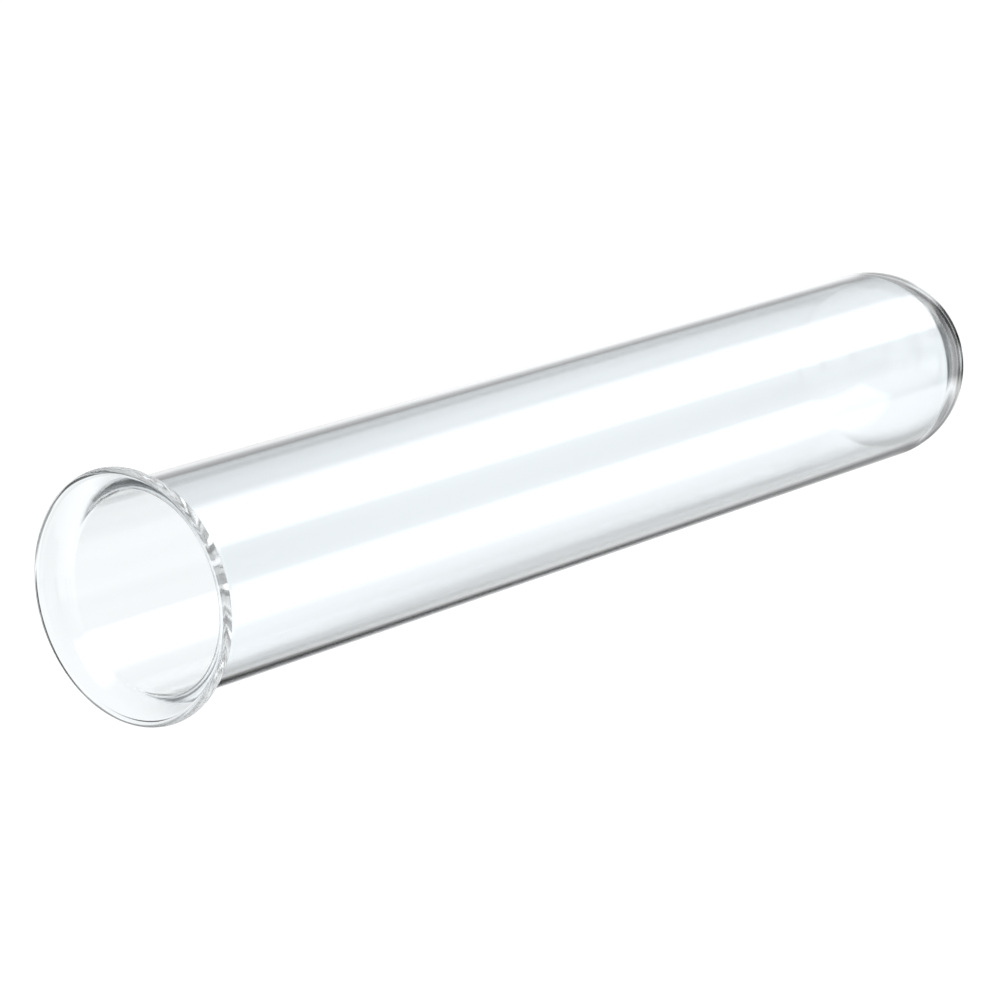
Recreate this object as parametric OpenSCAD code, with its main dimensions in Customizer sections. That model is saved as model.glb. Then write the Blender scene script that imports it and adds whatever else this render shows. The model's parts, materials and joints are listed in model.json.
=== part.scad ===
// Test tube: one piece of drawn clear glass, closed at one end by a round
// bottom and opened at the other into a flared, fire-polished rim.
// The tube lies along X, with its mouth towards -X. The origin is under the
// middle of the tube, level with the lowest point of the rim.

/* [Body] */
// Outside diameter of the straight body
body_d = 24; // [16:0.5:32]
// Overall length, from the mouth to the tip of the round bottom
tube_length = 150; // [80:5:250]
// Thickness of the body's wall
wall = 1; // [0.6:0.1:1.8]
// Thickness of the glass at the tip of the round bottom
tip_wall = 1.2; // [0.6:0.1:2.4]

/* [Rim] */
// Radius of the outside bend where the wall turns outward below the rim
neck_radius = 2.8; // [1.5:0.1:4.5]
// Angle that the wall is turned outward through, where 90 is a flat flange
flare_angle = 67; // [30:1:90]
// How much thicker the rounded lip is than the wall
lip_swell = 0.1; // [0:0.05:0.6]

/* [Hidden] */
$fn = 120;

// The body's outside and bore
body_r = body_d / 2;
bore_r = body_r - wall;

// The bend: its centre lies outside the wall, and the middle of the glass
// runs round it until the wall has turned through the flare angle
bend_r = body_r + neck_radius;
bend_mid = neck_radius + wall / 2;
lip_r = (wall + lip_swell) / 2;
bend_y = bend_mid * sin(flare_angle) + lip_r;
lip_centre_r = bend_r - bend_mid * cos(flare_angle);
rim_r = lip_centre_r + lip_r;

// The round bottom: both spheres are centred on the axis
dome_y = tube_length - body_r;
bore_end_y = tube_length - tip_wall - bore_r;

// Profiles: X is the radius and Y runs from the mouth to the tip.

// A filled half outline with a round end: straight from y0 up to y1, where an
// arc of the same radius closes it
module round_ended(r, y0, y1) {
    intersection() {
        union() {
            translate([-r, y0])
                square([2 * r, y1 - y0]);
            translate([0, y1])
                circle(r);
        }
        translate([0, y0])
            square([2 * r, y1 - y0 + 2 * r]);
    }
}

// The slice of the bend's ring that the turned wall fills
module bend_slice() {
    reach = 2 * (neck_radius + wall);
    half = flare_angle / 2;
    intersection() {
        difference() {
            circle(neck_radius + wall);
            circle(neck_radius);
        }
        polygon([
            [0, 0],
            [-reach, 0],
            [-reach * cos(half), -reach * sin(half)],
            [-reach * cos(flare_angle), -reach * sin(flare_angle)]
        ]);
    }
}

// The wall in section, from the lip to the tip
module wall_section() {
    difference() {
        round_ended(body_r, bend_y, dome_y);
        round_ended(bore_r, bend_y, bore_end_y);
    }
    translate([bend_r, bend_y])
        bend_slice();
    translate([lip_centre_r, lip_r])
        circle(lip_r);
}

// The tube, turned from its section and laid on its side
module glass_tube() {
    color([0.86, 0.93, 0.96, 0.35])
        translate([-tube_length / 2, 0, rim_r])
            rotate([0, 90, 0])
                rotate_extrude()
                    wall_section();
}

glass_tube();
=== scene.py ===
import json
import math

import bpy
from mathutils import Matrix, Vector


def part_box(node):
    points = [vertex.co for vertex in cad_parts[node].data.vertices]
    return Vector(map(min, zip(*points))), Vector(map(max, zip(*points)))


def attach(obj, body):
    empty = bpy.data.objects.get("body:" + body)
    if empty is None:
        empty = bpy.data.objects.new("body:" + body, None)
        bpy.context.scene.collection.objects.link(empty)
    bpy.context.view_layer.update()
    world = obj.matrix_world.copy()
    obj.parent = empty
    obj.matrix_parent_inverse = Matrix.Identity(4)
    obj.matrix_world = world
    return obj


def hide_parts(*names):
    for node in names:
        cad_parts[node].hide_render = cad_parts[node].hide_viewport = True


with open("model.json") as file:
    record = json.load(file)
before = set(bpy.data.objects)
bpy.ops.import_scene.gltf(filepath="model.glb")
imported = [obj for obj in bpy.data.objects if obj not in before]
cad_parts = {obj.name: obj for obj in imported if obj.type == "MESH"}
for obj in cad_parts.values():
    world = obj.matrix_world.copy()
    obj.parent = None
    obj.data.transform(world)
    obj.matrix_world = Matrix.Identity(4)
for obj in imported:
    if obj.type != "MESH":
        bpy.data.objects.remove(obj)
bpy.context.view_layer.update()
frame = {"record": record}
MM = 0.001


# The view: a long lens stands off the mouth's side of the tube and looks a little down
# on it, so that the tube runs from the mouth, low on the left, to the round bottom.
view_azimuth = math.radians(-51.202)
view_height = math.radians(14.852)
view_distance = 535.67 * MM
aim_right = -7.852 * MM
aim_up = -4.593 * MM
lens_mm = 163.93
sensor_mm = 36.0

tube_low, tube_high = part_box("glass_tube")
tube_middle = (tube_low + tube_high) / 2
towards_lens = Vector((
    math.sin(view_azimuth) * math.cos(view_height),
    -math.cos(view_azimuth) * math.cos(view_height),
    math.sin(view_height),
))
lens_right = Vector((math.cos(view_azimuth), math.sin(view_azimuth), 0.0))
lens_up = lens_right.cross(-towards_lens)

camera = bpy.data.objects.new("camera", bpy.data.cameras.new("camera"))
camera.data.sensor_width = sensor_mm
camera.data.lens = lens_mm
camera.data.clip_start = 0.01
camera.data.clip_end = 20.0
camera.location = (
    tube_middle + towards_lens * view_distance + lens_right * aim_right + lens_up * aim_up
)
camera.rotation_mode = "QUATERNION"
camera.rotation_quaternion = (-towards_lens).to_track_quat("-Z", "Y")
bpy.context.collection.objects.link(camera)
bpy.context.scene.camera = camera
bpy.context.scene.view_settings.view_transform = "Standard"

# Light turns many times inside a thick glass lip before it gets out.
turns_in_glass = 512
bpy.context.scene.cycles.max_bounces = turns_in_glass
bpy.context.scene.cycles.glossy_bounces = turns_in_glass
bpy.context.scene.cycles.transmission_bounces = turns_in_glass


# The studio: a white table that the tube lies on, a ring of eight white panels with dark
# gaps between them, which draw the glass's edges as grey lines, dark cards low down on a
# few sides, and one long soft light overhead.
def node_of(tree, kind, **inputs):
    """A node of this kind, with its named inputs set to numbers or linked to sockets."""
    node = tree.nodes.new(kind)
    for name, value in inputs.items():
        socket = node.inputs[name.replace("_", " ")]
        if isinstance(value, bpy.types.NodeSocket):
            tree.links.new(value, socket)
        else:
            socket.default_value = value
    return node


def maths(tree, operation, *values):
    """The result of one Math node on numbers or sockets."""
    node = tree.nodes.new("ShaderNodeMath")
    node.operation = operation
    for place, value in enumerate(values):
        if isinstance(value, bpy.types.NodeSocket):
            tree.links.new(value, node.inputs[place])
        else:
            node.inputs[place].default_value = value
    return node.outputs[0]


def plain_panel(name, size_x, size_y, height):
    """A flat rectangle facing up, centred under the tube."""
    edges = [(-size_x, -size_y), (size_x, -size_y), (size_x, size_y), (-size_x, size_y)]
    mesh = bpy.data.meshes.new(name)
    mesh.from_pydata([(x / 2, y / 2, height) for x, y in edges], [], [(0, 1, 2, 3)])
    panel = bpy.data.objects.new(name, mesh)
    bpy.context.collection.objects.link(panel)
    return panel


def ramp(tree, value, *stops):
    """The level a Color Ramp gives this value, through (place, level) stops."""
    node = node_of(tree, "ShaderNodeValToRGB", Fac=value)
    points = node.color_ramp.elements
    while len(points) < len(stops):
        points.new(1.0)
    for point, (place, level) in zip(points, stops):
        point.position = place
        point.color = (level, level, level, 1.0)
    return node.outputs["Color"]


table_side = 8.0
table_glow = 0.86
table_grey = 0.22
table = plain_panel("table", table_side, table_side, tube_low.z)
table_finish = bpy.data.materials.new("table_white")
table_finish.use_nodes = True
tree = table_finish.node_tree
tree.nodes.clear()
ray = tree.nodes.new("ShaderNodeLightPath").outputs
seen_glow = maths(tree, "MULTIPLY", ray["Is Camera Ray"], table_glow)
glow = node_of(tree, "ShaderNodeEmission", Strength=seen_glow)
matt = node_of(tree, "ShaderNodeBsdfDiffuse", Color=(table_grey, table_grey, table_grey, 1.0))
both = tree.nodes.new("ShaderNodeAddShader")
tree.links.new(glow.outputs[0], both.inputs[0])
tree.links.new(matt.outputs[0], both.inputs[1])
through = tree.nodes.new("ShaderNodeBsdfTransparent")
seen = maths(tree, "MAXIMUM", ray["Is Glossy Ray"], ray["Is Transmission Ray"])
top = tree.nodes.new("ShaderNodeMixShader")
tree.links.new(seen, top.inputs[0])
tree.links.new(both.outputs[0], top.inputs[1])
tree.links.new(through.outputs[0], top.inputs[2])
out = tree.nodes.new("ShaderNodeOutputMaterial")
tree.links.new(top.outputs[0], out.inputs["Surface"])
table.data.materials.append(table_finish)

room = bpy.data.worlds.new("room")
bpy.context.scene.world = room
room.use_nodes = True
tree = room.node_tree
tree.nodes.clear()
ray = tree.nodes.new("ShaderNodeLightPath").outputs
direction = tree.nodes.new("ShaderNodeTexCoord").outputs["Generated"]
aim = node_of(tree, "ShaderNodeSeparateXYZ", Vector=direction).outputs


def by_rise(tree, *stops):
    """A level that changes with the rise above the horizon, in degrees."""
    place = maths(tree, "MULTIPLY_ADD", aim["Z"], 0.5, 0.5)
    places = [(0.5 + 0.5 * math.sin(math.radians(at)), level) for at, level in stops]
    return ramp(tree, place, *places)


def by_bearing(tree, bearing, *stops):
    """A level that changes with a bearing in radians, whose stops are in degrees."""
    place = maths(tree, "MULTIPLY_ADD", bearing, 0.5 / math.pi, 0.5)
    return ramp(tree, place, *[((at + 180) / 360, level) for at, level in stops])


def dimmed(tree, level, amount):
    """What a card of this level leaves of the light where it covers this amount of the way."""
    covered = maths(tree, "MULTIPLY", amount, maths(tree, "SUBTRACT", 1.0, level))
    return maths(tree, "SUBTRACT", 1.0, covered)


bearing = maths(tree, "ARCTAN2", aim["X"], aim["Y"])
panel_turn = math.pi / 4
off_panel = maths(
    tree, "WRAP", maths(tree, "ADD", bearing, view_azimuth), panel_turn / 2, -panel_turn / 2
)
panels = by_bearing(
    tree, off_panel,
    (-19, 0.03), (-16, 0.85), (-5, 0.87), (-3, 0.93), (-1, 1.0), (16.5, 1.0), (19, 0.03),
)
panel_rise = by_rise(tree, (-17, 0.0), (-13, 1.0), (10, 1.0), (16, 0.0))
walls = by_rise(tree, (2, 1.0), (6, 0.6), (11, 0.36), (50, 0.36), (90, 0.4))
low_card = by_bearing(
    tree, bearing, (-45, 1.0), (-20, 0.04), (63, 0.04), (67, 0.7), (95, 0.85), (120, 1.0)
)
low_rise = by_rise(tree, (-70, 0.0), (-60, 1.0), (-29, 1.0), (-23.5, 0.0))
right_card = by_bearing(
    tree, bearing, (66, 1.0), (69, 0.03), (78, 0.03), (82, 0.35), (100, 0.35), (112, 1.0)
)
side_card = by_bearing(tree, bearing, (50, 1.0), (58, 0.35), (92, 0.35), (110, 1.0))
side_rise = by_rise(tree, (-34, 0.0), (-31, 1.0), (-22, 1.0), (-18, 0.0))
back_card = by_bearing(tree, bearing, (-82, 1.0), (-72, 0.1), (-57, 0.1), (-50, 1.0))
back_rise = by_rise(tree, (-40, 0.0), (-32, 1.0), (-10, 1.0), (-4, 0.0))
lens_side = by_bearing(tree, bearing, (-168, 1.0), (-150, 0.45), (-108, 0.45), (-96, 1.0))
lens_rise = by_rise(tree, (-50, 0.0), (-42, 1.0), (28, 1.0), (40, 0.0))
panel_white = 1.04
dim = maths(tree, "MULTIPLY", walls, panel_white)
for card, amount in (
    (panels, panel_rise), (low_card, low_rise), (right_card, panel_rise),
    (side_card, side_rise), (back_card, back_rise), (lens_side, lens_rise),
):
    dim = maths(tree, "MULTIPLY", dim, dimmed(tree, card, amount))
level = maths(tree, "MAXIMUM", ray["Is Camera Ray"], dim)
sky = node_of(tree, "ShaderNodeBackground", Color=(1.0, 1.0, 1.0, 1.0), Strength=level)
out = tree.nodes.new("ShaderNodeOutputWorld")
tree.links.new(sky.outputs[0], out.inputs["Surface"])


def soft_light(name, centre, aim, size, radiance, feather):
    """A rectangular soft light that fades to nothing over the feather at its edges."""
    lamp = bpy.data.lights.new(name, "AREA")
    lamp.shape = "RECTANGLE"
    lamp.size, lamp.size_y = size
    lamp.energy = radiance * math.pi * size[0] * size[1]
    lamp.use_nodes = True
    tree = lamp.node_tree
    face = tree.nodes.new("ShaderNodeNewGeometry").outputs["Parametric"]
    across = node_of(tree, "ShaderNodeSeparateXYZ", Vector=face).outputs
    level = 1.0
    for axis, length in zip("XY", size):
        off_middle = maths(tree, "ABSOLUTE", maths(tree, "SUBTRACT", across[axis], 0.5))
        from_edge = maths(tree, "SUBTRACT", 0.5, off_middle)
        rise = node_of(tree, "ShaderNodeMapRange", Value=from_edge, From_Max=feather / length)
        rise.interpolation_type = "SMOOTHSTEP"
        level = maths(tree, "MULTIPLY", level, rise.outputs["Result"])
    tree.links.new(level, tree.nodes["Emission"].inputs["Strength"])
    holder = bpy.data.objects.new(name, lamp)
    holder.location = centre
    holder.rotation_euler = (Vector(aim) - Vector(centre)).to_track_quat("-Z", "Y").to_euler()
    holder.visible_camera = False
    bpy.context.collection.objects.link(holder)
    return holder


lamp_place = Vector((0.7, -0.31, 0.7))
soft_light(
    "overhead_light", lamp_place, (lamp_place.x, lamp_place.y, 0.0),
    size=(2.6, 0.94), radiance=1.9, feather=0.18,
)


# The tube: one piece of drawn borosilicate glass, closed in the flame at one end and
# turned outward at the other into a flared rim with a fire-polished lip.
mounts = {mount["name"]: mount for mount in frame["record"]["mounts"]}
body_r = mounts["body"]["dims"]["r_mm"] * MM
bore_r = mounts["mouth_bore"]["dims"]["r_mm"] * MM
straight = mounts["body"]["dims"]["length_mm"] * MM
wall = body_r - bore_r
mouth_x, tip_x = tube_low.x, tube_high.x
axis_z = tube_middle.z
rim_r = (tube_high.z - tube_low.z) / 2

neck_r = 2.8 * MM
lip_r = 0.55 * MM
tip_wall = 1.2 * MM
dome_x = tip_x - body_r
bowl_x = tip_x - tip_wall - bore_r
bend_x = dome_x - straight
bend_r = body_r + neck_r
bend_mid = neck_r + wall / 2
flare_turn = math.acos((bend_r - rim_r + lip_r) / bend_mid)
lip_x = mouth_x + lip_r
lip_ring_r = rim_r - lip_r


def arc(centre_x, centre_r, radius, start, end, steps):
    """Points (x, r) along an arc; angles run from the way out from the axis, towards the mouth."""
    turns = [start + (end - start) * step / steps for step in range(steps + 1)]
    return [(centre_x - radius * math.sin(t), centre_r + radius * math.cos(t)) for t in turns]


def wall_profile():
    """The wall in section as (x, r), from the outer tip round the lip to the inner tip."""
    quarter = math.pi / 2
    outside = arc(dome_x, 0.0, body_r, -quarter, 0.0, 40)[1:]
    run = 24
    outside += [
        (dome_x + (bend_x - dome_x) * step / run, body_r) for step in range(1, run)
    ]
    outside += arc(bend_x, bend_r, neck_r, math.pi, math.pi - flare_turn, 16)
    lip = arc(lip_x, lip_ring_r, lip_r, -flare_turn, math.pi - flare_turn, 18)[1:-1]
    inside = arc(bend_x, bend_r, neck_r + wall, math.pi - flare_turn, math.pi, 20)
    inside += [
        (bend_x + (bowl_x - bend_x) * step / run, bore_r) for step in range(1, run)
    ]
    inside += arc(bowl_x, 0.0, bore_r, 0.0, -quarter, 36)[:-1]
    return outside, lip, inside


def turned_glass(name, segments):
    """The tube's mesh: the wall's section turned about the axis, with a vertex at each tip."""
    outside, lip, inside = wall_profile()
    rings = outside + lip + inside
    points, faces = [], []
    for x, r in rings:
        for side in range(segments):
            turn = 2 * math.pi * side / segments
            points.append((x, r * math.cos(turn), axis_z + r * math.sin(turn)))
    for ring in range(len(rings) - 1):
        a, b = ring * segments, (ring + 1) * segments
        for side in range(segments):
            after = (side + 1) % segments
            faces.append((a + side, b + side, b + after, a + after))
    outer_tip, inner_tip = len(points), len(points) + 1
    points += [(tip_x, 0.0, axis_z), (tip_x - tip_wall, 0.0, axis_z)]
    last = (len(rings) - 1) * segments
    for side in range(segments):
        after = (side + 1) % segments
        faces.append((outer_tip, side, after))
        faces.append((inner_tip, last + after, last + side))
    mesh = bpy.data.meshes.new(name)
    mesh.from_pydata(points, [], faces)
    mesh.polygons.foreach_set("use_smooth", [True] * len(faces))
    mesh.validate()
    return mesh


glass_ior = 1.473
glass_tint = (0.955, 0.985, 1.0, 1.0)
shadow_tint = (0.9, 0.92, 0.93, 1.0)
draw_line_share = 0.3
relief_depth = 0.012 * MM

clear_glass = bpy.data.materials.new("clear_glass")
clear_glass.use_nodes = True
tree = clear_glass.node_tree
tree.nodes.clear()
place = tree.nodes.new("ShaderNodeTexCoord").outputs["Object"]
along = node_of(tree, "ShaderNodeMapping", Vector=place, Scale=(12.0, 330.0, 330.0))
draw_lines = node_of(
    tree, "ShaderNodeTexNoise", Vector=along.outputs["Vector"], Scale=1.0, Detail=2.0
)
ripple = node_of(tree, "ShaderNodeTexNoise", Vector=place, Scale=420.0, Detail=1.0)
down_tube = node_of(tree, "ShaderNodeSeparateXYZ", Vector=place).outputs["X"]
mouth_zone = node_of(
    tree, "ShaderNodeMapRange", Value=down_tube,
    From_Min=mouth_x + 2.5 * MM, From_Max=mouth_x + 6.0 * MM, To_Min=0.6, To_Max=0.1,
)
ripple_here = maths(tree, "MULTIPLY", ripple.outputs["Fac"], mouth_zone.outputs["Result"])
lines_here = maths(tree, "MULTIPLY", draw_lines.outputs["Fac"], draw_line_share)
relief = maths(tree, "ADD", lines_here, ripple_here)
surface = node_of(tree, "ShaderNodeBump", Height=relief, Strength=1.0, Distance=relief_depth)
glass = node_of(
    tree,
    "ShaderNodeBsdfPrincipled",
    Normal=surface.outputs["Normal"],
    Base_Color=glass_tint,
    Roughness=0.0,
    IOR=glass_ior,
    Transmission_Weight=1.0,
)
lamp_way = node_of(tree, "ShaderNodeBsdfTransparent", Color=shadow_tint)
ray = tree.nodes.new("ShaderNodeLightPath").outputs
clear = tree.nodes.new("ShaderNodeMixShader")
tree.links.new(ray["Is Shadow Ray"], clear.inputs[0])
tree.links.new(glass.outputs[0], clear.inputs[1])
tree.links.new(lamp_way.outputs[0], clear.inputs[2])
out = tree.nodes.new("ShaderNodeOutputMaterial")
tree.links.new(clear.outputs[0], out.inputs["Surface"])

tube_sides = 512
tube = bpy.data.objects.new("test_tube_glass", turned_glass("test_tube_glass", tube_sides))
tube.data.materials.append(clear_glass)
bpy.context.collection.objects.link(tube)
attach(tube, "root")
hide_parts("glass_tube")
